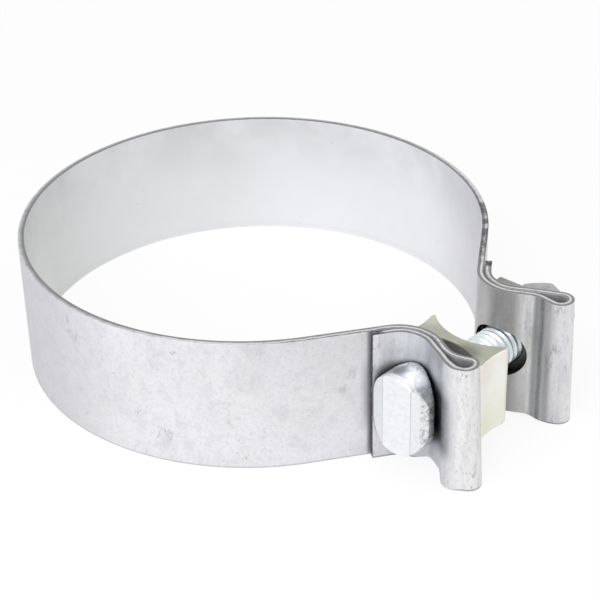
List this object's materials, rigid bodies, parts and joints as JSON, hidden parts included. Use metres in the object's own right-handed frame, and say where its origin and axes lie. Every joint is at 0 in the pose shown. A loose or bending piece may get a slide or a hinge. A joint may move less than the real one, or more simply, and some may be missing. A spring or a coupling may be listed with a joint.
{
  "type": "exhaust band clamp",
  "caption": "Flat steel band clamp for an exhaust joint: folded ears, a long-head bolt, a reaction block between the ears, a half-round spacer and a nut.",
  "frame": {"origin": "centre of the ring, at the middle of the band's width", "axes": "+Z along the pipe, +X from the ring's centre to the ears, +Y along the bolt from its head to its nut"},
  "size_m": [0.1329, 0.1094, 0.0318],
  "materials": {
    "band": "satin coated strip",
    "bolt": "clear zinc plate",
    "reaction_block": "yellow zinc plate",
    "spacer": "dull plated",
    "nut": "clear zinc plate"
  },
  "bodies": {
    "clamp": {"band": "band", "bolt": "bolt"},
    "block": {"reaction_block": "reaction_block"},
    "spacer": {"spacer": "spacer"},
    "nut": {"nut": "nut"}
  },
  "joints": [
    {"name": "block_slide", "type": "slide", "parent": "clamp", "child": "block", "axis": [0, 1, 0], "range_m": [-0.0057, 0.0113]},
    {"name": "spacer_slide", "type": "slide", "parent": "clamp", "child": "spacer", "axis": [0, 1, 0], "range_m": [0, 0.008]},
    {"name": "nut_spin", "type": "hinge", "parent": "spacer", "child": "nut", "pos_m": [0.06179, 0.02822, 0], "axis": [0, 1, 0], "range_deg": [0, 1800]}
  ],
  "couplings": [
    {"joint": "spacer_slide", "follows": "nut_spin", "m_per_rad": 0.00025266}
  ]
}
